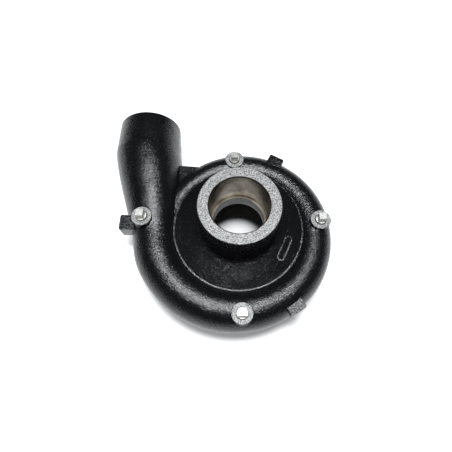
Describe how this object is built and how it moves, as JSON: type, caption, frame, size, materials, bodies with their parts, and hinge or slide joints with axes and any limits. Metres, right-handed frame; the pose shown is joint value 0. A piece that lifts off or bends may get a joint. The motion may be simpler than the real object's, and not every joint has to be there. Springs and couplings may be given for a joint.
{
  "type": "volute pump casing",
  "caption": "Cast volute casing of a centrifugal pump: suction collar, growing spiral tube, tangential discharge nozzle and plugged tapping bosses.",
  "frame": {"origin": "on the suction axis, in the machined back face", "axes": "+Z along the suction axis out of the collar, +Y along the discharge nozzle out of its mouth"},
  "size_m": [0.2572, 0.2588, 0.114],
  "materials": {
    "casting": "glossy black hammertone paint over an as-cast skin",
    "plug": "bright plated"
  },
  "bodies": {
    "root": {"volute_casing": "casting", "plug_top": "plug", "plug_right": "plug", "plug_bottom": "plug", "plug_left": "plug"}
  },
  "joints": []
}
